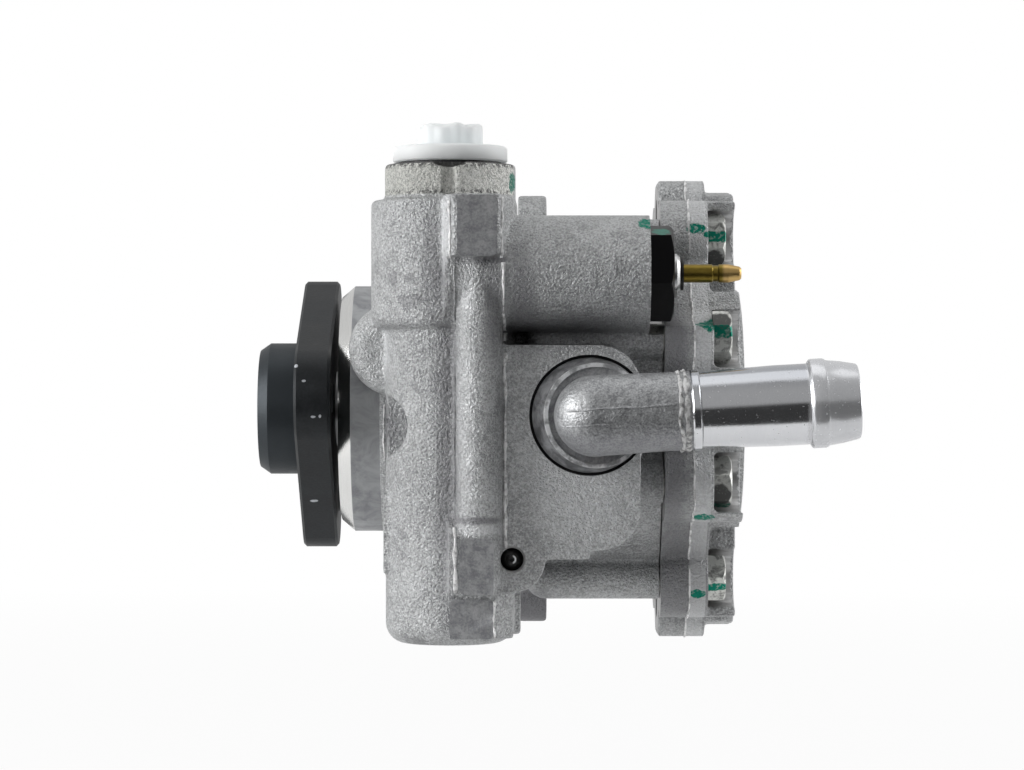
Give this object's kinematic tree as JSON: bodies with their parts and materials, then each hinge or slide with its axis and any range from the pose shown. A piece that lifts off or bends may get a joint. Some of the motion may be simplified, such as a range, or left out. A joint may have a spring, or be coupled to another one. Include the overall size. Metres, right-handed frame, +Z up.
{
  "type": "power steering pump",
  "caption": "Vane pump with a lobed drive flange, a side suction elbow with a hose nipple, a valve boss with a pin terminal and a plugged pressure port on top.",
  "frame": {"origin": "on the shaft's axis at the housing's front shoulder, where the pilot ends", "axes": "+X along the shaft from the drive flange to the rear cover, +Z up with the pressure port on top, -Y towards the valve and the suction elbow"},
  "size_m": [0.1307, 0.1248, 0.1144],
  "materials": {
    "cast_aluminium": "grainy as cast with dark mottling, machined faces plain",
    "elbow_aluminium": "cast at the collar, turned bright along the hose nipple",
    "zinc_steel": "worn zinc plating, dirty",
    "black_steel": "black oxide with small bright nicks",
    "ground_steel": "ground and oiled",
    "bronze": "plain bearing bronze",
    "black_rubber": "moulded, oily",
    "plug_steel": "black oxide, satin",
    "brass": "tarnished, bright at the tip",
    "bright_steel": "bright plated",
    "insulator": "moulded, matt",
    "white_plastic": "soft translucent moulding"
  },
  "bodies": {
    "pump_body": {"housing": "cast_aluminium", "rear_cover": "cast_aluminium", "cover_bolts": "zinc_steel", "cover_seal": "black_rubber", "bearing_outer_ring": "ground_steel", "bearing_circlip": "ground_steel", "shaft_seal": "black_rubber", "seal_spring": "ground_steel", "rear_bush": "bronze", "front_plate": "ground_steel", "front_plate_o_ring": "black_rubber", "preload_spring": "ground_steel", "cam_ring": "ground_steel", "rear_plate": "ground_steel", "dowel_pins": "ground_steel", "inlet_elbow": "elbow_aluminium", "inlet_o_ring": "black_rubber", "sealing_ball": "ground_steel", "valve_plug": "plug_steel", "valve_plug_o_ring": "black_rubber", "terminal_insulator": "insulator", "terminal_pin": "brass", "retaining_washer": "bright_steel", "insulating_disc": "insulator", "valve_spring": "ground_steel", "port_plug": "white_plastic", "port_plug_washer": "black_rubber"},
    "shaft": {"drive_flange": "black_steel", "drive_shaft": "ground_steel", "bearing_inner_ring": "ground_steel", "rotor": "ground_steel", "rotor_circlip": "ground_steel"},
    "ball_cage": {"bearing_cage": "ground_steel", "bearing_balls": "ground_steel"},
    "spool": {"valve_spool": "ground_steel", "relief_seat": "ground_steel", "relief_screw": "ground_steel", "relief_spring": "ground_steel"},
    "relief_ball": {"relief_ball": "ground_steel"},
    "vane_01": {"vane_01": "ground_steel"},
    "vane_02": {"vane_02": "ground_steel"},
    "vane_03": {"vane_03": "ground_steel"},
    "vane_04": {"vane_04": "ground_steel"},
    "vane_05": {"vane_05": "ground_steel"},
    "vane_06": {"vane_06": "ground_steel"},
    "vane_07": {"vane_07": "ground_steel"},
    "vane_08": {"vane_08": "ground_steel"},
    "vane_09": {"vane_09": "ground_steel"},
    "vane_10": {"vane_10": "ground_steel"}
  },
  "joints": [
    {"name": "shaft_turn", "type": "hinge", "parent": "pump_body", "child": "shaft", "pos_m": [0, 0, 0], "axis": [1, 0, 0], "continuous": true},
    {"name": "cage_turn", "type": "hinge", "parent": "pump_body", "child": "ball_cage", "pos_m": [-0.00035, 0, 0], "axis": [1, 0, 0], "continuous": true},
    {"name": "vane_01_slide", "type": "slide", "parent": "shaft", "child": "vane_01", "axis": [0, 0.9877, 0.1564], "range_m": [-0.0015, 0]},
    {"name": "vane_02_slide", "type": "slide", "parent": "shaft", "child": "vane_02", "axis": [0, 0.7071, 0.7071], "range_m": [-0.0015, 0]},
    {"name": "vane_03_slide", "type": "slide", "parent": "shaft", "child": "vane_03", "axis": [0, 0.1564, 0.9877], "range_m": [-0.0015, 0]},
    {"name": "vane_04_slide", "type": "slide", "parent": "shaft", "child": "vane_04", "axis": [0, -0.454, 0.891], "range_m": [-0.0015, 0]},
    {"name": "vane_05_slide", "type": "slide", "parent": "shaft", "child": "vane_05", "axis": [0, -0.891, 0.454], "range_m": [-0.0015, 0]},
    {"name": "vane_06_slide", "type": "slide", "parent": "shaft", "child": "vane_06", "axis": [0, -0.9877, -0.1564], "range_m": [-0.0015, 0]},
    {"name": "vane_07_slide", "type": "slide", "parent": "shaft", "child": "vane_07", "axis": [0, -0.7071, -0.7071], "range_m": [-0.0015, 0]},
    {"name": "vane_08_slide", "type": "slide", "parent": "shaft", "child": "vane_08", "axis": [0, -0.1564, -0.9877], "range_m": [-0.0015, 0]},
    {"name": "vane_09_slide", "type": "slide", "parent": "shaft", "child": "vane_09", "axis": [0, 0.454, -0.891], "range_m": [-0.0015, 0]},
    {"name": "vane_10_slide", "type": "slide", "parent": "shaft", "child": "vane_10", "axis": [0, 0.891, -0.454], "range_m": [-0.0015, 0]},
    {"name": "spool_slide", "type": "slide", "parent": "pump_body", "child": "spool", "axis": [1, 0, 0], "range_m": [0, 0.003], "stiffness_N_per_m": 4000, "springref_m": -0.003, "deforming": ["valve_spring"]},
    {"name": "relief_ball_slide", "type": "slide", "parent": "spool", "child": "relief_ball", "axis": [1, 0, 0], "range_m": [0, 0.0008], "stiffness_N_per_m": 6000, "springref_m": -0.0005, "deforming": ["relief_spring"]}
  ],
  "couplings": [
    {"joint": "cage_turn", "follows": "shaft_turn", "ratio": 0.3828}
  ]
}
